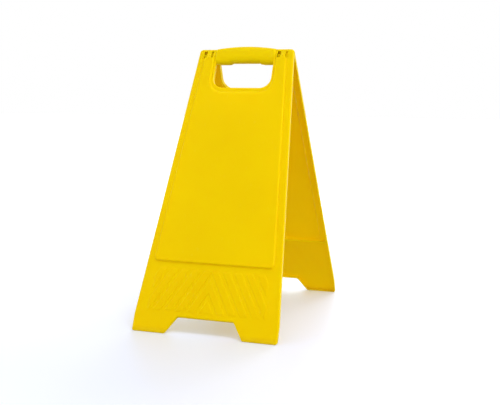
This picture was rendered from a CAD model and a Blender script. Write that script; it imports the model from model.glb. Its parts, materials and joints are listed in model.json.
"""A blank yellow folding floor stand: two identical moulded leaves, clipped together at the top.

Each leaf is two pieces. Its moulding is one closed mesh, drawn flat as an outline in x and z with
heights (out) over it, where z is measured up from the hinge axis and out is measured away from the
other leaf. Its hinge is the pins and clips, as small closed shells. Lengths are in millimetres
until a leaf is put in its place, except in the material and the studio, which are in metres.
"""
import json
import math

import bpy
import numpy as np
from mathutils import Matrix, Vector
from mathutils.geometry import delaunay_2d_cdt


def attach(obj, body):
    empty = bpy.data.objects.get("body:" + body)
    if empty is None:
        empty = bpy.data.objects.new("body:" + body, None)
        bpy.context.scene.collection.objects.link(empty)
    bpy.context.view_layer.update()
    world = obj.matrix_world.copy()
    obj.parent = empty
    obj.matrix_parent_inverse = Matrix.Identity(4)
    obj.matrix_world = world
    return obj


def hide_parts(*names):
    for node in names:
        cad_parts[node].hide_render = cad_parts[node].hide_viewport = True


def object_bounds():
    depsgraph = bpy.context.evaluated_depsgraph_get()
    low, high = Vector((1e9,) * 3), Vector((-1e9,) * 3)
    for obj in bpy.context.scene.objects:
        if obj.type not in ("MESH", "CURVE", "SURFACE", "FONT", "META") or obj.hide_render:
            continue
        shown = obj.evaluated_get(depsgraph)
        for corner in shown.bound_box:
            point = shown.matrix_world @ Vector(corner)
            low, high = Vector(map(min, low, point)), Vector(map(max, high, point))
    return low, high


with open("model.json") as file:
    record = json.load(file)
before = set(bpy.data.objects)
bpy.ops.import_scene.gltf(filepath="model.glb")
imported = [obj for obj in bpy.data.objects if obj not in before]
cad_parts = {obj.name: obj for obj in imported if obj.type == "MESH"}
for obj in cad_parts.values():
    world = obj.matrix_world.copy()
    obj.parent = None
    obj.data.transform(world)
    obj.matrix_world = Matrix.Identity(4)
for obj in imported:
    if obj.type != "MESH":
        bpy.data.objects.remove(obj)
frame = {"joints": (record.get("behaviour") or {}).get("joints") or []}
CAD_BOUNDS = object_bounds()

MM = 0.001
FOLD = frame["joints"][0]
HINGE_HEIGHT = FOLD["pos_m"][2] / MM
LEAN = math.radians(FOLD["range_deg"][1] / 2)     # each leaf from upright

# ---- Driving dimensions, as in the CAD ----
LEAF_LENGTH = 609.6
HINGE_DOWN = 13.3                 # top edge to hinge axis
ABOVE_TOP = 60.0                  # outlines that are open at the top run this far past it
TOP_HALF_WIDTH = 103.4
SIDE_SPREAD = 0.0788              # half-width gained per millimetre down
FACE_OUT = 8.7
CLEARANCE = 0.2                   # rims to the plane between the leaves
WALL = 2.5
EDGE_RADIUS = 2.5
RIM_RADIUS = 0.5
INNER_RADIUS = 1.4                # where the walls meet the inner face
INNER_MARGIN = 0.3                # the inner face stays this far behind the rim
LEAST_WALL = 0.8
LEAST_EDGE = 0.15                 # plastic left between the outer face and the rim
TOP_CORNER_RADIUS = 7.5
PANEL_RISE = 4.0
PANEL_MARGIN = 14.4
PANEL_TOP = 3.0
PANEL_FULL = 20.0                 # the panel reaches its full rise here
PANEL_BOTTOM = 466.5
PANEL_RADIUS = 9.0
PANEL_SLOPE = 3.0                 # width of the panel's sloping side
PANEL_SLOPE_INSIDE = 6.5          # its gentler slope on the inner face
PANEL_SLOPE_START = 0.6           # the slope starts this far outside the panel's outline
RAMP_EASE = 0.45                  # how far the ramp up from the top edge is eased
CROSS_RIB = 2.0                   # thickness of the rib inside, below the panel
CROSS_RIB_RADIUS = 10.0           # where it meets the flanges
CROSS_RIB_REACH = CROSS_RIB_RADIUS * 1.1      # how far up the flanges the rib is looked for
HAND_HALF_WIDTH = 63.5
HAND_BOTTOM = 89.3
HAND_RADIUS = 23.0
HAND_LIP = 1.6
HAND_LIP_TOP = 14.0               # the lip runs this far up beside the handle
DISH_MARGIN = 7.5
DISH_DROP = 17.0
DISH_DEPTH = 2.2
DISH_LOWEST = 0.5                 # share of the way in to the hole at which it is deepest
DISH_LIP = 0.8                    # and at which its lip is up
DISH_LIP_RISE = 0.4
HANDLE_HALF_LENGTH = 65.7
HANDLE_BOTTOM = 32.6
HANDLE_ARCH = 20.7                # crown above the hinge axis, stand open
FINGER_HALF_WIDTH = 34.0
FINGER_RELIEF = 3.0
FINGER_FADE = 4.0                 # each way from the relief's end
HANDLE_RIBS = (-32.0, 0.0, 32.0)
HANDLE_RIB_HALF = 1.0             # half a rib's thickness
HANDLE_FADE_START = 63.2          # the barrel's ends fade into the plate from here
HANDLE_FADE_END = 66.5
BELOW_HANDLE = 4.0                # how far below the handle its ends reach
SHOULDER = 1.2                    # width of the step from the barrel up to the plate
UNDERSIDE_OUT = 2.5               # out at the barrel's underside
FRONT_LOW = -2.0                  # z at which the underside's curve ends
FRONT_HIGH = 3.0                  # z at which the crown's curve starts
FOOT_TAPER_START = 574.6
FOOT_TIP_HALF_WIDTH = 148.5
FOOT_OUTER_RADIUS = 4.5
FOOT_INNER_RADIUS = 3
NOTCH_DOWN = 574.6
NOTCH_TOP_HALF_WIDTH = 58.3
NOTCH_FOOT_HALF_WIDTH = 80.0
NOTCH_RADIUS = 6
WINDOW_TOP = 5.3
WINDOW_HEIGHT = 15.5
WINDOW_RADIUS = 0.8
WINDOW_EDGE_RADIUS = 0.5
PIN_WINDOW_WIDTH = 7.5
CLIP_WINDOW_WIDTH = 5.0
PIN_RADIUS = 2.6
PIN_END = 0.6                     # the pin ends this far inside its cheeks
CHEEK_RADIUS = 4.4
CHEEK_GAP = 10.0
CHEEK_THICKNESS = 2.0
CLIP_BORE = 3.0
CLIP_RADIUS = 5.2
CLIP_WIDTH = 8.4
CLIP_MOUTH = 4.4
CLIP_MOUTH_TURN = 20.0            # degrees the clip's mouth dips
CLIP_BACK = 5.9                   # the clip's face, behind its window
WEB_OVERLAP = 1.0                 # the webs start this far inside the clip
WEB_TOP_DROP = 0.6                # their top corners keep this far below the wall's middle
WEB_BUTT_MARGIN = 0.3             # and this far back from the rim's plane
WEB_WINDOW_MARGIN = 0.3           # and they stand this far beside the window
INNER_STATION = 73.4
OUTER_STATION = 89.4
BAR_PITCH = 23.7
BAR_WIDTH = 16.7
BAR_RISE = 1.0
BAR_SLOPE = 1.4                   # width of a bar's sloping side
BAR_END = 6.0                     # length over which the bars fade out at the field's edge
BAR_SLANT = math.tan(math.radians(30))
BAR_FIRST = 15.4
BAR_LEVEL = 536.0
BAR_NUMBERS = range(-2, 7)        # the bars that can reach into one side of the bar field
BARS_TOP = 477.3
BARS_BOTTOM = 565.9
BARS_MARGIN = 22.6
BARS_RADIUS = 5

LEAST_RADIUS = 0.3                # an inset round corner keeps at least this
TOUCHING = 0.01                   # points this near a limit count as past it
TINY = 1e-6
MERGE_DISTANCE = 1e-4             # of points in the triangulation
SHARP_ANGLE = math.radians(48)    # edges bent more than this look sharp

PANEL_OUT = FACE_OUT + PANEL_RISE
PIN_STATIONS = (-OUTER_STATION, INNER_STATION)
CLIP_STATIONS = (-INNER_STATION, OUTER_STATION)
CROWN_OUT = HANDLE_ARCH * math.sin(LEAN)
CROWN_Z = HANDLE_ARCH * math.cos(LEAN)
HANDLE_END_SCALE = HINGE_DOWN / CROWN_Z
BUTTING_SLOPE = math.tan(LEAN)
CROWN_REACH = CROWN_Z - BUTTING_SLOPE * (PANEL_OUT - CROWN_OUT)   # z the crown's curve bends towards


def half_width(down):
    return TOP_HALF_WIDTH + SIDE_SPREAD * down


def smoothstep(value, low, high):
    t = np.clip((value - low) / (high - low), 0.0, 1.0)
    return t * t * (3 - 2 * t)


def mix(a, b, share):
    return a + (b - a) * share


# ---- Outlines: corners are [x, z, radius] ----

def both_sides(right_half):
    left_half = [[-x, z, radius] for x, z, radius in reversed(right_half)]
    return right_half + left_half


def leaf_corners():
    return both_sides([
        [TOP_HALF_WIDTH, HINGE_DOWN, TOP_CORNER_RADIUS],
        [half_width(FOOT_TAPER_START), HINGE_DOWN - FOOT_TAPER_START, 0],
        [FOOT_TIP_HALF_WIDTH, HINGE_DOWN - LEAF_LENGTH, FOOT_OUTER_RADIUS],
        [NOTCH_FOOT_HALF_WIDTH, HINGE_DOWN - LEAF_LENGTH, FOOT_INNER_RADIUS],
        [NOTCH_TOP_HALF_WIDTH, HINGE_DOWN - NOTCH_DOWN, NOTCH_RADIUS],
    ])


def panel_corners():
    return both_sides([
        [half_width(-ABOVE_TOP) - PANEL_MARGIN, HINGE_DOWN + ABOVE_TOP, 0],
        [half_width(PANEL_BOTTOM) - PANEL_MARGIN, HINGE_DOWN - PANEL_BOTTOM, PANEL_RADIUS],
    ])


def hand_corners(margin=0.0, drop=0.0, top=ABOVE_TOP):
    return both_sides([
        [HAND_HALF_WIDTH + margin, HINGE_DOWN + top, 0],
        [HAND_HALF_WIDTH + margin, HINGE_DOWN - HAND_BOTTOM - drop, HAND_RADIUS + margin],
    ])


def cross_rib_corners():
    """The opening above the cross rib: inside the flanges, and rounded down to the rib."""
    wall = WALL * math.hypot(1, SIDE_SPREAD)
    return both_sides([
        [half_width(-ABOVE_TOP) - wall, HINGE_DOWN + ABOVE_TOP, 0],
        [half_width(PANEL_BOTTOM) - wall, HINGE_DOWN - PANEL_BOTTOM, CROSS_RIB_RADIUS],
    ])


def bar_field_corners():
    return both_sides([
        [half_width(BARS_TOP) - BARS_MARGIN, HINGE_DOWN - BARS_TOP, BARS_RADIUS],
        [half_width(BARS_BOTTOM) - BARS_MARGIN, HINGE_DOWN - BARS_BOTTOM, BARS_RADIUS],
    ])


def window_corners(x, width):
    top = HINGE_DOWN - WINDOW_TOP
    bottom = top - WINDOW_HEIGHT
    left, right = x - width / 2, x + width / 2
    return [[place, z, WINDOW_RADIUS]
            for place, z in ((right, top), (right, bottom), (left, bottom), (left, top))]


def windows():
    return ([window_corners(x, PIN_WINDOW_WIDTH) for x in PIN_STATIONS]
            + [window_corners(x, CLIP_WINDOW_WIDTH) for x in CLIP_STATIONS])


def unit(vector):
    return vector / abs(vector)


def cross(a, b):
    return (a.conjugate() * b).imag


def inset(corners, distance):
    """The outline with every side moved inwards; its rounds stay parallel."""
    points = [complex(x, z) for x, z, _ in corners]
    count = len(points)
    turn = math.copysign(1.0, sum(cross(points[i - 1], points[i]) for i in range(count)))
    moved = []
    for i, (_, _, radius) in enumerate(corners):
        before = unit(points[i] - points[i - 1])
        after = unit(points[(i + 1) % count] - points[i])
        bend = cross(before, after) * turn
        aside = (before + after) * 1j * turn
        mitre = aside * distance / (1 + (before.conjugate() * after).real)
        if radius > 0:
            radius = max(radius - math.copysign(1.0, bend) * distance, LEAST_RADIUS)
        moved.append([points[i].real + mitre.real, points[i].imag + mitre.imag, radius])
    return moved


def rounded(corners, spacing=10.0, arc_step=math.radians(7.5)):
    """The outline's points, with arcs at its round corners and straights cut into short edges."""
    points = [complex(x, z) for x, z, _ in corners]
    count = len(points)
    arcs = []
    for i, (_, _, radius) in enumerate(corners):
        back = unit(points[i - 1] - points[i])
        ahead = unit(points[(i + 1) % count] - points[i])
        if radius <= 0:
            arcs.append([points[i]])
            continue
        half = math.acos((back.conjugate() * ahead).real) / 2
        centre = points[i] + unit(back + ahead) * radius / math.sin(half)
        start = points[i] + back * radius / math.tan(half)
        sweep = math.copysign(math.pi - 2 * half, cross(back, ahead) * -1)
        steps = max(2, math.ceil(abs(sweep) / arc_step))
        arcs.append([centre + (start - centre) * complex(math.cos(a), math.sin(a))
                     for a in np.linspace(0, sweep, steps + 1)])
    outline = []
    for i, arc in enumerate(arcs):
        outline += arc
        gap = arcs[(i + 1) % count][0] - arc[-1]
        pieces = max(1, round(abs(gap) / spacing))
        outline += [arc[-1] + gap * k / pieces for k in range(1, pieces)]
    return np.array([(p.real, p.imag) for p in outline])


def distance_inside(points, outline):
    """Distance from each point to the closed outline, positive inside it."""
    start = outline
    side = np.roll(outline, -1, axis=0) - start
    length2 = (side ** 2).sum(1)
    best = np.full(len(points), np.inf)
    inside = np.zeros(len(points), bool)
    for (x0, z0), (dx, dz), size in zip(start, side, length2):
        if size == 0:
            continue
        rx = points[:, 0] - x0
        rz = points[:, 1] - z0
        t = np.clip((rx * dx + rz * dz) / size, 0, 1)
        best = np.minimum(best, (rx - t * dx) ** 2 + (rz - t * dz) ** 2)
        if dz != 0:
            crosses = (z0 > points[:, 1]) != (z0 + dz > points[:, 1])
            inside ^= crosses & (points[:, 0] < x0 + dx * (points[:, 1] - z0) / dz)
    return np.where(inside, 1, -1) * np.sqrt(best)


def arch(x):
    """How the handle's upper half shrinks from its crown to its ends."""
    return 1 - (1 - HANDLE_END_SCALE) * np.minimum(np.abs(x) / HANDLE_HALF_LENGTH, 1) ** 2


def finger_relief(x):
    past = np.abs(x) - FINGER_HALF_WIDTH
    return FINGER_RELIEF * (1 - smoothstep(past, -FINGER_FADE, FINGER_FADE))


def handle_bottom(x):
    return HINGE_DOWN - HANDLE_BOTTOM + finger_relief(x)


def leaf_outline(distance=0.0):
    """The leaf's outline moved inwards, with the handle's arch along its top."""
    points = rounded(inset(leaf_corners(), distance), spacing=6)
    top = points[:, 1] > HINGE_DOWN - distance - TINY
    points[top, 1] = CROWN_Z * arch(points[top, 0]) - distance
    return points


def hand_outline(distance=0.0):
    """The hand hole's outline moved outwards; its top is the underside of the handle."""
    corners = hand_corners(distance, distance, top=distance - HANDLE_BOTTOM)
    points = rounded(corners, spacing=2.5)
    top = points[:, 1] > HINGE_DOWN - HANDLE_BOTTOM + distance - TINY
    points[top, 1] = handle_bottom(points[top, 0]) + distance
    return points


# ---- Heights over the leaf's plane ----

def handle_out(x, z):
    """The barrel: a quarter turn from its underside to its front, then a fall to its crown."""
    bottom = HINGE_DOWN - HANDLE_BOTTOM
    lower = z / (1 + finger_relief(x) / bottom)
    t = np.sqrt(np.clip((lower - bottom) / (FRONT_LOW - bottom), 0, 1))
    under = PANEL_OUT - (PANEL_OUT - UNDERSIDE_OUT) * (1 - t) ** 2
    rise = 2 * (CROWN_REACH - FRONT_HIGH)
    bend = FRONT_HIGH - 2 * CROWN_REACH + CROWN_Z
    upper = z / arch(x) - FRONT_HIGH
    t = (-rise + np.sqrt(np.maximum(rise ** 2 + 4 * bend * upper, 0))) / (2 * bend)
    t = np.clip(t, 0, 1)
    over = PANEL_OUT - (PANEL_OUT - CROWN_OUT) * t ** 2
    return np.where(z > 0, over, under)


def edge_drop(distance, radius):
    """How far a rounded edge lies below the face, at a distance in from the edge."""
    short = np.clip(radius - distance, 0, radius)
    return radius - np.sqrt(np.maximum(radius ** 2 - short ** 2, 0))


class Leaf:
    """The leaf's heights at a set of points, each worked out from its distances to the outlines."""

    def __init__(self, points):
        self.x = points[:, 0]
        self.z = points[:, 1]
        self.down = HINGE_DOWN - self.z
        self.edge = distance_inside(points, leaf_outline())
        self.hole = -distance_inside(points, hand_outline())
        self.panel = distance_inside(points, rounded(panel_corners(), 20))
        self.dish = distance_inside(points, rounded(hand_corners(DISH_MARGIN, DISH_DROP), 20))
        self.around_hand = np.maximum(-distance_inside(points, rounded(hand_corners(), 20)), 0)
        self.window = np.min([-distance_inside(points, rounded(w)) for w in windows()], axis=0)
        above_rib = distance_inside(points, rounded(cross_rib_corners(), 20))
        self.rib = np.maximum(above_rib, self.down - PANEL_BOTTOM - CROSS_RIB)
        self.handle = smoothstep(-np.abs(self.x), -HANDLE_FADE_END, -HANDLE_FADE_START)
        self.handle *= self.z > HINGE_DOWN - HANDLE_BOTTOM - BELOW_HANDLE

    def in_handle(self):
        above = self.z > HINGE_DOWN - HANDLE_BOTTOM - TOUCHING
        return above & (np.abs(self.x) < HAND_HALF_WIDTH)

    def panel_height(self, slope):
        side = smoothstep(self.panel, -PANEL_SLOPE_START, slope - PANEL_SLOPE_START)
        ramp = np.clip((self.down - PANEL_TOP) / (PANEL_FULL - PANEL_TOP), 0, 1)
        ramp = mix(ramp, smoothstep(ramp, 0, 1), RAMP_EASE)
        return PANEL_RISE * np.minimum(side, ramp)

    def dish_depth(self):
        """How far the dish round the hand hole is sunk; its deepest part is 1 mm deeper beside it."""
        share = self.dish / np.maximum(self.dish + self.around_hand, TINY)
        slope = np.clip(share / DISH_LOWEST, 0, 1)
        lip = smoothstep(share, DISH_LOWEST, DISH_LIP)
        beside = smoothstep(self.z, HINGE_DOWN - HAND_BOTTOM, HINGE_DOWN - HAND_BOTTOM + HAND_RADIUS)
        depth = (DISH_DEPTH + beside) * slope ** 2 - (DISH_LIP_RISE + beside) * lip
        return np.where(self.dish > 0, depth, 0)

    def bar_height(self):
        field = distance_inside(np.column_stack([self.x, self.z]), rounded(bar_field_corners(), 20))
        middle = np.abs(self.x) - BAR_FIRST - (self.down - BAR_LEVEL) * BAR_SLANT
        off_centre = np.abs(middle - BAR_PITCH * np.round(middle / BAR_PITCH))
        in_bar = (BAR_WIDTH / 2 - off_centre) * math.cos(math.atan(BAR_SLANT))
        return BAR_RISE * smoothstep(in_bar, 0, BAR_SLOPE) * smoothstep(field, 0, BAR_END)

    def plate(self, slope):
        """The face with the panel and the dish, for one width of the panel's sloping side."""
        return FACE_OUT + np.minimum(self.panel_height(slope), PANEL_RISE - self.dish_depth())

    def outer(self):
        plate = self.plate(PANEL_SLOPE) + self.bar_height()
        plate -= edge_drop(self.edge, EDGE_RADIUS)
        lip_ends = HINGE_DOWN - HANDLE_BOTTOM + HAND_LIP_TOP
        plate -= edge_drop(self.around_hand, HAND_LIP) * (self.z < lip_ends)
        plate -= edge_drop(self.window, WINDOW_EDGE_RADIUS)
        barrel = handle_out(self.x, self.z)
        beside = mix(plate, np.maximum(plate, barrel), self.handle)
        shoulder = smoothstep(np.abs(self.x), HAND_HALF_WIDTH - SHOULDER, HAND_HALF_WIDTH)
        return np.where(self.in_handle(), mix(barrel, np.maximum(plate, barrel), shoulder), beside)

    def inner(self):
        plate = self.plate(PANEL_SLOPE_INSIDE)
        over = np.where(self.in_handle(), handle_out(self.x, self.z), plate) - WALL
        from_wall = np.minimum(np.minimum(self.edge, self.hole) - WALL, self.rib)
        return np.maximum(over - edge_drop(from_wall, INNER_RADIUS), self.rim_plane() + INNER_MARGIN)

    def rim_plane(self):
        """The rim's height: flat below the hinge axis, and slanting above it so that the tops butt."""
        return CLEARANCE + np.maximum(self.z, 0) * BUTTING_SLOPE

    def rim(self):
        nearest = np.minimum(self.edge, self.hole)
        inner_round = edge_drop(np.abs(WALL - nearest), RIM_RADIUS) * (nearest < WALL + 1)
        round_off = edge_drop(nearest, RIM_RADIUS) + inner_round
        round_off += edge_drop(-self.rib, RIM_RADIUS) * (self.rib < 0) * (nearest > WALL)
        room = np.maximum(self.outer() - self.rim_plane() - LEAST_EDGE, 0)
        return self.rim_plane() + np.minimum(round_off, room)


def in_place(x, out, z):
    """Leaf coordinates to the row frame, in metres, with the soles cut level with the floor."""
    down = HINGE_DOWN - z
    share = np.clip((down - FOOT_TAPER_START) / (LEAF_LENGTH - FOOT_TAPER_START), 0, 1)
    z = z + (FACE_OUT - out) * math.tan(LEAN) * share
    y = -out * math.cos(LEAN) + z * math.sin(LEAN)
    up = out * math.sin(LEAN) + z * math.cos(LEAN) + HINGE_HEIGHT
    return np.column_stack([x, y, up]) * MM


# ---- The leaf's mesh ----

def closed(points):
    return [(points[i - 1], points[i]) for i in range(len(points))]


def opened(points):
    return [(points[i], points[i + 1]) for i in range(len(points) - 1)]


def below(points, level):
    return [line for line in closed(points) if max(line[0][1], line[1][1]) <= level]


# Rows of the mesh: distances in from an edge, or shares of the way across a slope.
EDGE_ROWS = (0, 0.12, 0.4, 0.9, 1.5, 2.1, 2.38, 2.5, 2.75, 3.2, 3.9)
WINDOW_ROWS = (0, 0.15, 0.5)
PANEL_ROWS = (0, 0.15, 0.3, 0.5, 0.7, 0.85, 1, 1.35, 1.75, PANEL_SLOPE_INSIDE / PANEL_SLOPE)
DISH_ROWS = (0, 0.12, 0.24, 0.36, 0.46, 0.5, 0.58, 0.68, 0.76)
UNDERSIDE_ROWS = (0.5, 0.6, 0.7, 0.8, 0.9, 1.0)
CROWN_ROWS = (0, 0.1, 0.2, 0.3, 0.4, 0.5, 0.6, 0.7, 0.8, 0.88)
CROSS_RIB_ROWS = (-0.4, -0.12, 0, 0.25, 0.7, 1.4)
BAR_ROWS = (0, 0.2, 0.5, 0.8, 1)

# Lines up the handle near its ends, as distances from the middle.
HANDLE_END_LINES = (HAND_HALF_WIDTH - SHOULDER, HAND_HALF_WIDTH - SHOULDER / 2, HAND_HALF_WIDTH,
                    64.3, 65.1, 66, 66.6)

RAMP_ROW_COUNT = 7
RAMP_ROW_START = 67.0             # just outside the handle
RAMP_ROW_MARGIN = 4.0             # short of the leaf's side
CROSS_RIB_ROW_MARGIN = 1.0        # short of the leaf's side
FOOT_ROW_PITCH = 11.6
FOOT_ROW_SPAN = (84.0, 144.0)
SHORTEST_SHARE = 0.01             # a shorter share of a bar's row is left out


def feature_lines():
    """Every line that the mesh has to follow, as pairs of points."""
    return (edge_lines() + panel_lines() + dish_lines() + handle_lines()
            + cross_rib_lines() + bar_lines() + foot_lines())


def level_lines(down, inner, outer):
    """A level line on each side of the leaf, between two distances from the middle."""
    z = HINGE_DOWN - down
    return [((side * inner, z), (side * outer, z)) for side in (-1, 1)]


def edge_lines():
    lines = []
    for row in EDGE_ROWS:
        lines += closed(leaf_outline(row))
        lines += closed(hand_outline(row))
    for corners in windows():
        for row in WINDOW_ROWS:
            lines += closed(rounded(inset(corners, -row), spacing=3, arc_step=math.radians(30)))
    return lines


def panel_lines():
    lines = []
    for share in PANEL_ROWS:
        row = rounded(inset(panel_corners(), -PANEL_SLOPE_START + share * PANEL_SLOPE), spacing=12)
        lines += below(row, HINGE_DOWN - PANEL_TOP)
    for down in np.linspace(PANEL_TOP, PANEL_FULL, RAMP_ROW_COUNT):
        lines += level_lines(down, RAMP_ROW_START, half_width(down) - RAMP_ROW_MARGIN)
    return lines


def foot_lines():
    lines = []
    for down in np.arange(FOOT_TAPER_START, LEAF_LENGTH, FOOT_ROW_PITCH):
        lines += level_lines(down, *FOOT_ROW_SPAN)
    return lines


def dish_lines():
    lines = []
    for share in DISH_ROWS:
        margin = DISH_MARGIN * (1 - share)
        drop = DISH_DROP * (1 - share)
        row = rounded(hand_corners(margin, drop), spacing=6)
        lines += below(row, HINGE_DOWN - PANEL_TOP)
    return lines


def upright_line(x, bottom, count):
    """A line of points up the handle, from a height to the leaf's top."""
    z = np.linspace(bottom, CROWN_Z * float(arch(x)), count)
    return opened(np.column_stack([np.full(count, x), z]))


def handle_lines():
    """Rows along the handle, and lines up it near its ends and at its ribs' faces."""
    lines = []
    x = np.linspace(-HAND_HALF_WIDTH, HAND_HALF_WIDTH, num=45)
    bottom = HINGE_DOWN - HANDLE_BOTTOM
    for t in UNDERSIDE_ROWS:
        z = (bottom + (FRONT_LOW - bottom) * t * t) * (1 + finger_relief(x) / bottom)
        lines += opened(np.column_stack([x, z]))
    for t in CROWN_ROWS:
        z = (FRONT_HIGH * (1 - t) ** 2 + 2 * t * (1 - t) * CROWN_REACH + CROWN_Z * t * t) * arch(x)
        lines += opened(np.column_stack([x, z]))
    for at in HANDLE_END_LINES:
        low = bottom - (0 if at < HAND_HALF_WIDTH else BELOW_HANDLE)
        for side in (-1, 1):
            lines += upright_line(side * at, low, count=22)
    for rib in HANDLE_RIBS:
        for side in (-1, 1):
            face = rib + side * HANDLE_RIB_HALF
            lines += upright_line(face, float(handle_bottom(face)), count=14)
    return lines


def cross_rib_lines():
    lines = []
    foot = PANEL_BOTTOM + CROSS_RIB
    arc_top = HINGE_DOWN - PANEL_BOTTOM + CROSS_RIB_REACH
    for row in CROSS_RIB_ROWS:
        lines += below(rounded(inset(cross_rib_corners(), row), spacing=12), arc_top)
        half = half_width(foot + row) - CROSS_RIB_ROW_MARGIN
        lines.append(((-half, HINGE_DOWN - foot - row), (half, HINGE_DOWN - foot - row)))
    return lines


def bar_lines():
    """Rows round the bar field's edge, and along every bar on both sides of the middle."""
    lines = []
    for share in BAR_ROWS:
        row = inset(bar_field_corners(), BAR_END * share)
        lines += closed(rounded(row, spacing=12, arc_step=math.radians(15)))
    for side in (-1, 1):
        for number in BAR_NUMBERS:
            for offset in bar_offsets():
                clipped = clip_to_bars(*bar_row(number, offset))
                if clipped:
                    lines.append(tuple((side * x, z) for x, z in clipped))
    lines.append(((0, HINGE_DOWN - BARS_TOP), (0, HINGE_DOWN - BARS_BOTTOM)))
    return lines


def bar_offsets():
    """Rows over a bar's two sloping sides, as level distances from its middle line."""
    across = math.cos(math.atan(BAR_SLANT))
    return [sign * (BAR_WIDTH / 2 - BAR_SLOPE * share / across) for sign in (-1, 1) for share in BAR_ROWS]


def bar_row(number, offset):
    """The two ends of a row along a bar, at the bar field's top and bottom."""
    ends = []
    for down in (BARS_TOP, BARS_BOTTOM):
        x = BAR_FIRST + number * BAR_PITCH + (down - BAR_LEVEL) * BAR_SLANT + offset
        ends.append((x, HINGE_DOWN - down))
    return ends


def field_half_width(z):
    return half_width(HINGE_DOWN - z) - BARS_MARGIN


def clip_to_bars(start, end):
    """The part of a slanted line between the middle and the bar field's side, or None."""
    (x0, z0), (x1, z1) = start, end
    low, high = 0.0, 1.0
    for value0, value1 in ((x0, x1), (field_half_width(z0) - x0, field_half_width(z1) - x1)):
        if value0 < 0 and value1 < 0:
            return None
        if value0 < 0:
            low = max(low, value0 / (value0 - value1))
        if value1 < 0:
            high = min(high, value0 / (value0 - value1))
    if high - low < SHORTEST_SHARE:
        return None
    return [(x0 + (x1 - x0) * t, z0 + (z1 - z0) * t) for t in (low, high)]


def triangulated(lines):
    """Points and triangles of the plane, with every line kept as edges."""
    points = []
    edges = []
    index = {}
    for line in lines:
        ends = []
        for x, z in line:
            key = (round(float(x), 3), round(float(z), 3))
            if key not in index:
                index[key] = len(points)
                points.append(Vector(key))
            ends.append(index[key])
        if ends[0] != ends[1]:
            edges.append(tuple(ends))
    made = delaunay_2d_cdt(points, edges, [], 0, MERGE_DISTANCE)
    return np.array([tuple(p) for p in made[0]]), np.array(made[2])


OUTER, RIM, INNER = 0, 1, 2       # the leaf's skins
NO_PLASTIC = -1


def classify(points, triangles):
    """For each triangle: NO_PLASTIC, RIM where the moulding is as deep as its rim, or INNER."""
    middle = points[triangles].mean(axis=1)
    at = Leaf(middle)
    outside = (at.edge < 0) | (at.hole < 0) | (at.window < 0)
    wall = np.minimum(at.edge, at.hole) < WALL
    above = middle[:, 1] > HINGE_DOWN - HANDLE_BOTTOM
    across = np.abs(middle[:, 0])
    wall |= above & (across > HAND_HALF_WIDTH) & (across < HAND_HALF_WIDTH + WALL)
    for rib in HANDLE_RIBS:
        wall |= above & (np.abs(middle[:, 0] - rib) < HANDLE_RIB_HALF)
    wall |= (at.rib < 0) & (at.down > PANEL_BOTTOM - CROSS_RIB_REACH)
    return np.where(outside, NO_PLASTIC, np.where(wall, RIM, INNER))


def wound_alike(points, triangles):
    """The triangles, all turned the same way round."""
    flat = points[triangles]
    first = flat[:, 1] - flat[:, 0]
    second = flat[:, 2] - flat[:, 0]
    turned = first[:, 0] * second[:, 1] - first[:, 1] * second[:, 0] < 0
    triangles[turned] = triangles[turned][:, ::-1]
    return triangles


def skin_heights(points):
    """The height of each skin over every point."""
    at = Leaf(points)
    outer = at.outer()
    return {OUTER: outer, RIM: at.rim(), INNER: np.minimum(at.inner(), outer - LEAST_WALL)}


def triangles_by_edge(triangles):
    """Which triangle each directed edge belongs to."""
    owner = {}
    for t, corners in enumerate(triangles.tolist()):
        for i in range(3):
            owner[corners[i], corners[(i + 1) % 3]] = t
    return owner


def leaf_shell():
    """Vertices and faces of the moulding's one closed skin, in leaf coordinates."""
    points, triangles = triangulated(feature_lines())
    kind = classify(points, triangles)
    plastic = kind != NO_PLASTIC
    triangles = wound_alike(points, triangles[plastic])
    kind = kind[plastic].tolist()
    heights = skin_heights(points)
    owner = triangles_by_edge(triangles)
    number = {}
    vertices = []

    def vertex(point, skin):
        if (point, skin) not in number:
            number[point, skin] = len(vertices)
            vertices.append((points[point, 0], heights[skin][point], points[point, 1]))
        return number[point, skin]

    faces = []
    for corners, skin in zip(triangles.tolist(), kind):
        faces.append([vertex(c, OUTER) for c in corners])
        faces.append([vertex(c, skin) for c in reversed(corners)])
        for i in range(3):
            a, b = corners[i], corners[(i + 1) % 3]
            beside = owner.get((b, a))
            if beside is None:
                faces.append([vertex(a, OUTER), vertex(a, skin), vertex(b, skin), vertex(b, OUTER)])
            elif skin == RIM and kind[beside] == INNER:
                faces.append([vertex(a, INNER), vertex(a, RIM), vertex(b, RIM), vertex(b, INNER)])
    return np.array(vertices), faces


# ---- Hinge: small closed shells that end inside the leaf's wall ----

def wall_middle(left, right, z):
    """Half-way through the leaf's wall at a height, where it is lowest between left and right."""
    across = np.linspace(left, right, num=5)
    skin = Leaf(np.column_stack([across, np.full_like(across, z)])).outer()
    return skin.min() - WALL / 2


def arc(radius, start, end, steps):
    """Points [out, z] on a circle about the hinge axis, angles in degrees from outwards."""
    angles = np.radians(np.linspace(start, end, steps + 1))
    return [(radius * math.cos(a), radius * math.sin(a)) for a in angles]


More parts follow.
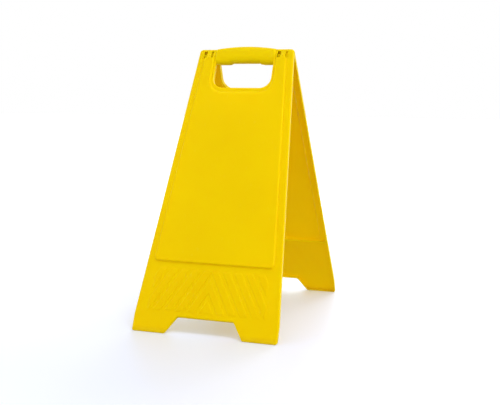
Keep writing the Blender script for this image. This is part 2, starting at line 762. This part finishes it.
def prism(section, left, right, chamfer=0.3):
    """A section [out, z] carried along the hinge, with its end edges chamfered."""
    points = np.array(section)
    before = points - np.roll(points, 1, axis=0)
    after = np.roll(points, -1, axis=0) - points
    before /= np.linalg.norm(before, axis=1)[:, None]
    after /= np.linalg.norm(after, axis=1)[:, None]
    inward = np.column_stack([-(before + after)[:, 1], (before + after)[:, 0]])
    inward /= (1 + (before * after).sum(1))[:, None]
    rings = [(left, chamfer), (left + chamfer, 0), (right - chamfer, 0), (right, chamfer)]
    count = len(points)
    vertices = []
    for x, shrink in rings:
        vertices += [(x, out, z) for out, z in points + inward * shrink]
    faces = [list(range(count)), list(range(3 * count, 4 * count))[::-1]]
    for ring in range(3):
        for i in range(count):
            j = (i + 1) % count
            low, high = ring * count, (ring + 1) * count
            faces.append([low + j, low + i, high + i, high + j])
    return np.array(vertices), faces


def pin_shells(x):
    """A pin across a gap between two cheeks."""
    inner, outer = CHEEK_GAP / 2, CHEEK_GAP / 2 + CHEEK_THICKNESS
    pin = arc(PIN_RADIUS, 0, 360, steps=24)[:-1]
    shells = [prism(pin, x - outer + PIN_END, x + outer - PIN_END)]
    for left, right in ((x - outer, x - inner), (x + inner, x + outer)):
        cheek = arc(CHEEK_RADIUS, 90, 270, steps=12)
        cheek += [(wall_middle(left, right, z), z) for z in (-CHEEK_RADIUS, CHEEK_RADIUS)]
        shells.append(prism(cheek, left, right))
    return shells


def clip_shells(x):
    """A C-shaped clip, its mouth towards the other leaf, with webs that tie it into the wall."""
    top = HINGE_DOWN - WALL / 2
    mouth = 180 + CLIP_MOUTH_TURN
    outside = math.degrees(math.asin(CLIP_MOUTH / 2 / CLIP_RADIUS))
    inside = math.degrees(math.asin(CLIP_MOUTH / 2 / CLIP_BORE))
    butt = [(CLEARANCE + z * BUTTING_SLOPE, z) for z in (top, CLIP_RADIUS)]
    ring = arc(CLIP_RADIUS, 90, mouth - outside, steps=10)
    ring += arc(CLIP_BORE, mouth - inside, mouth + inside - 360, steps=26)
    ring += arc(CLIP_RADIUS, mouth + outside, 270, steps=6)
    ring += [(CLIP_BACK, -CLIP_RADIUS), (CLIP_BACK, top)] + butt
    half = CLIP_WIDTH / 2
    beside = CLIP_WINDOW_WIDTH / 2 + WEB_WINDOW_MARGIN
    shells = [prism(ring, x - half, x + half)]
    for left, right in ((x - half, x - beside), (x + beside, x + half)):
        web = [(CLIP_BACK - WEB_OVERLAP, -CLIP_RADIUS)]
        web += [(wall_middle(left, right, z), z) for z in (-CLIP_RADIUS, 0)]
        web.append((wall_middle(left, right, top) - WEB_TOP_DROP, top))
        web.append((butt[0][0] + WEB_BUTT_MARGIN, top))
        shells.append(prism(web, left, right, chamfer=0.1))
    return shells


def hinge_shells():
    """All the pins, cheeks, clips and webs of one leaf, as one list of vertices and faces."""
    shells = [shell for x in PIN_STATIONS for shell in pin_shells(x)]
    shells += [shell for x in CLIP_STATIONS for shell in clip_shells(x)]
    vertices = np.empty((0, 3))
    faces = []
    for more_vertices, more_faces in shells:
        start = len(vertices)
        vertices = np.vstack([vertices, more_vertices])
        faces += [[start + i for i in face] for face in more_faces]
    return vertices, faces


def make_piece(name, shape, body, node, material):
    """One piece on a body; the rear leaf is the front leaf turned half round."""
    vertices, faces = shape
    placed = in_place(vertices[:, 0], vertices[:, 1], vertices[:, 2])
    if body == "rear":
        placed[:, :2] *= -1
    # The true curves stand up to 0.14 mm outside the CAD's facets, so they are trimmed to its box.
    placed = np.clip(placed, *CAD_BOUNDS)
    mesh = bpy.data.meshes.new(name)
    mesh.from_pydata(placed.tolist(), [], faces)
    mesh.validate()
    mesh.shade_smooth()
    mesh.set_sharp_from_angle(angle=SHARP_ANGLE)
    piece = bpy.data.objects.new(name, mesh)
    bpy.context.scene.collection.objects.link(piece)
    weighted = piece.modifiers.new("weighted normals", "WEIGHTED_NORMAL")
    weighted.keep_sharp = True
    weighted.weight = 50
    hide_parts(node)
    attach(piece, body)
    piece.data.materials.append(material)


# ---- Materials ----

BLACK = (0, 0, 0)
WHITE = (1, 1, 1)
PLASTIC_DARKER = (0.83, 0.6, 0.0005)
PLASTIC_LIGHTER = (0.855, 0.626, 0.0005)
SCRATCH_COLOUR = (0.9, 0.72, 0.08)
SCUFF_COLOUR = (0.35, 0.24, 0.03)
SCUFF_HEIGHT = 0.012              # the soles are scuffed up to here
GRAIN_DEPTH = 0.00006
PLASTIC = {
    "Specular IOR Level": 0.25,
    "Specular Tint": (1.0, 0.8, 0.02, 1),
    "Subsurface Weight": 0.95,
    "Subsurface Radius": (0.8, 0.8, 0.15),
    "Subsurface Scale": 0.0050,
}


def grey(level):
    return (level, level, level)


def set_stops(node, stops):
    """Give a colour ramp its stops, each a position and a colour."""
    elements = node.color_ramp.elements
    while len(elements) < len(stops):
        elements.new(0.5)
    for element, (position, colour) in zip(elements, stops):
        element.position = position
        element.color = (*colour, 1)


class Nodes:
    """Adds nodes to a node tree; the values handed about are the nodes' outputs."""

    def __init__(self, tree):
        self.tree = tree
        self.coordinates = self.add("TexCoord").outputs

    def link(self, source, target):
        self.tree.links.new(source, target)

    def add(self, kind, fixed=None, linked=None, **settings):
        """A new node with its settings, its fixed inputs and its linked inputs."""
        node = self.tree.nodes.new("ShaderNode" + kind)
        for name, value in settings.items():
            setattr(node, name, value)
        for key, value in (fixed or {}).items():
            node.inputs[key].default_value = value
        for key, source in (linked or {}).items():
            self.link(source, node.inputs[key])
        return node

    def noise(self, scale, detail, roughness=0.5, where=None):
        fixed = {"Scale": scale, "Detail": detail, "Roughness": roughness}
        where = self.coordinates["Object"] if where is None else where
        return self.add("TexNoise", fixed, {"Vector": where}).outputs["Fac"]

    def multiplied(self, fixed, linked):
        return self.add("Math", fixed, linked, operation="MULTIPLY").outputs["Value"]

    def ramp(self, value, stops):
        node = self.add("ValToRGB", linked={"Fac": value})
        set_stops(node, stops)
        return node.outputs["Color"]

    def blended(self, share, base, over, strength):
        """The base colour with another laid over it where share is high."""
        weaker = self.multiplied({1: strength}, {0: share})
        return self.add("MixRGB", {"Color2": (*over, 1)}, {"Fac": weaker, "Color1": base}).outputs["Color"]


def new_material(name):
    """A new material, its shader's inputs and the maker of its nodes."""
    material = bpy.data.materials.new(name)
    material.use_nodes = True
    return material, material.node_tree.nodes["Principled BSDF"].inputs, Nodes(material.node_tree)


def hairlines(nodes):
    """Fine scratches, drawn out along one slanting direction."""
    slant = {"Rotation": (0, math.radians(35), math.radians(20)), "Scale": (1.0, 1.0, 0.06)}
    along = nodes.add("Mapping", slant, {"Vector": nodes.coordinates["Object"]}).outputs["Vector"]
    return nodes.ramp(nodes.noise(260.0, 2.0, 0.4, along), [(0.66, BLACK), (0.74, WHITE)])


def sole_scuffs(nodes):
    """Patchy wear that fades out a little above the floor."""
    place = nodes.add("SeparateXYZ", linked={"Vector": nodes.coordinates["Object"]})
    near_floor = nodes.add("MapRange", {"From Min": SCUFF_HEIGHT, "From Max": 0.0},
                           {"Value": place.outputs["Z"]})
    return nodes.multiplied({}, {0: near_floor.outputs["Result"], 1: nodes.noise(90.0, 4.0, 0.7)})


def plastic_colour(nodes, scratches, scuffs):
    """Yellow with faint flow marks, paler in its scratches and dirtier on its soles."""
    flow = nodes.noise(7.0, 3.0)
    colour = nodes.ramp(flow, [(0.3, PLASTIC_DARKER), (0.7, PLASTIC_LIGHTER)])
    colour = nodes.blended(scratches, colour, SCRATCH_COLOUR, 0.12)
    return nodes.blended(scuffs, colour, SCUFF_COLOUR, 0.45)


def plastic_roughness(nodes, scratches, scuffs):
    """Semi-gloss with smudges, duller where it is scratched or scuffed."""
    smudge = nodes.noise(23.0, 5.0, 0.6)
    roughness = nodes.ramp(smudge, [(0.35, grey(0.40)), (0.7, grey(0.52))])
    roughness = nodes.blended(scratches, roughness, grey(0.7), 0.6)
    return nodes.blended(scuffs, roughness, grey(0.8), 0.9)


def moulded_grain(nodes):
    grain = nodes.noise(1900.0, 2.0)
    bump = nodes.add("Bump", {"Strength": 0.25, "Distance": GRAIN_DEPTH}, {"Height": grain})
    return bump.outputs["Normal"]


def leaf_material():
    """Translucent yellow polypropylene with a fine moulded grain, flow marks and scuffs."""
    material, inputs, nodes = new_material("yellow polypropylene")
    for name, value in PLASTIC.items():
        inputs[name].default_value = value
    scratches = hairlines(nodes)
    scuffs = sole_scuffs(nodes)
    nodes.link(plastic_colour(nodes, scratches, scuffs), inputs["Base Color"])
    nodes.link(plastic_roughness(nodes, scratches, scuffs), inputs["Roughness"])
    nodes.link(moulded_grain(nodes), inputs["Normal"])
    return material


FLOOR_RADIUS = 30.0
FLOOR_CORNERS = 64
FLOOR_COLOUR = (0.79, 0.83, 0.97, 1)


def floor_material():
    """Pale and softly reflecting, glowing up to white away from the stand."""
    material, inputs, nodes = new_material("floor")
    inputs["Base Color"].default_value = FLOOR_COLOUR
    inputs["Roughness"].default_value = 0.4
    inputs["Emission Color"].default_value = (1, 1, 1, 1)
    away = nodes.add("VectorMath", linked={0: nodes.coordinates["Object"]}, operation="LENGTH")
    fixed = {"From Min": 0.5, "From Max": 1.8, "To Min": 0.05, "To Max": 0.6}
    glow = nodes.add("MapRange", fixed, {"Value": away.outputs["Value"]}, interpolation_type="SMOOTHSTEP")
    nodes.link(glow.outputs["Result"], inputs["Emission Strength"])
    return material


# ---- Studio ----

# Brightness of the surroundings from straight down (0) through the horizon (0.5) to overhead (1).
WORLD_LEVELS = ((0.0, 0.4), (0.25, 0.5), (0.49, 1.0), (0.6, 1.0), (1.0, 0.65))
LAMP_AIM = Vector((0, 0, 0.3))


def direction(azimuth, elevation):
    """Which way a place lies from the stand, angles in radians; azimuth 0 is straight in front."""
    return Vector((math.sin(azimuth) * math.cos(elevation),
                   -math.cos(azimuth) * math.cos(elevation), math.sin(elevation)))


def camera():
    """The camera that was fitted to the edges in the photo."""
    azimuth, elevation, roll = math.radians(18.51), math.radians(6.579), math.radians(0.728)
    distance = 1.8151
    aside, height = 0.0106, 0.2338
    back = direction(azimuth, elevation)
    right = Vector((math.cos(azimuth), math.sin(azimuth), 0))
    up = back.cross(right)
    turned_right = right * math.cos(roll) + up * math.sin(roll)
    turned_up = up * math.cos(roll) - right * math.sin(roll)
    target = right * aside + Vector((0, 0, height))
    data = bpy.data.cameras.new("camera")
    data.lens = 60.81
    data.sensor_width = 36
    data.clip_end = 100
    placed = bpy.data.objects.new("camera", data)
    bpy.context.scene.collection.objects.link(placed)
    axes = Matrix((turned_right, turned_up, back)).transposed().to_4x4()
    placed.matrix_world = Matrix.Translation(target + back * distance) @ axes
    bpy.context.scene.camera = placed


def floor():
    mesh = bpy.data.meshes.new("floor")
    turns = np.linspace(0, 2 * math.pi, FLOOR_CORNERS, endpoint=False)
    ring = [(FLOOR_RADIUS * math.cos(turn), FLOOR_RADIUS * math.sin(turn), 0) for turn in turns]
    mesh.from_pydata(ring, [], [list(range(FLOOR_CORNERS))])
    mesh.materials.append(floor_material())
    ground = bpy.data.objects.new("floor", mesh)
    ground.visible_diffuse = False
    bpy.context.scene.collection.objects.link(ground)


def light(name, azimuth, elevation, distance, size, watts):
    """A square lamp aimed at the stand's middle, its angles in degrees."""
    data = bpy.data.lights.new(name, "AREA")
    data.shape = "RECTANGLE"
    data.size = size
    data.size_y = size
    data.energy = watts
    lamp = bpy.data.objects.new(name, data)
    back = direction(math.radians(azimuth), math.radians(elevation))
    lamp.location = back * distance + LAMP_AIM
    lamp.rotation_euler = back.to_track_quat("Z", "Y").to_euler()
    bpy.context.scene.collection.objects.link(lamp)
    return lamp


def tent():
    """A pale tent all round, brightest at the horizon and dimmest below."""
    world = bpy.data.worlds.new("studio")
    world.use_nodes = True
    nodes = Nodes(world.node_tree)
    place = nodes.add("SeparateXYZ", linked={"Vector": nodes.coordinates["Generated"]})
    height = nodes.add("MapRange", {"From Min": -1}, {"Value": place.outputs["Z"]}).outputs["Result"]
    colour = nodes.ramp(height, [(position, grey(level)) for position, level in WORLD_LEVELS])
    nodes.link(colour, world.node_tree.nodes["Background"].inputs["Color"])
    bpy.context.scene.world = world


def studio():
    """The tent, a key lamp high at the front right, one low at the right, a weak one at the left,
    and a strong one behind, whose light comes through the walls."""
    tent()
    bpy.context.scene.view_settings.view_transform = "Standard"
    light("key", 45, 60, 2.6, 1.1, 20)
    light("right", 86, 8, 2.4, 1.4, 11)
    light("left", -75, 12, 2.6, 1.6, 3)
    glow = light("backdrop glow", 180, 25, 2.4, 1.6, 41)
    glow.visible_glossy = False                   # it shines through the walls, with no glare off them


def main():
    camera()
    studio()
    floor()
    material = leaf_material()
    moulding = leaf_shell()
    hinge = hinge_shells()
    for body in ("front", "rear"):
        make_piece(body + "_moulding", moulding, body, body + "_leaf", material)
        make_piece(body + "_hinge", hinge, body, body + "_leaf", material)


main()
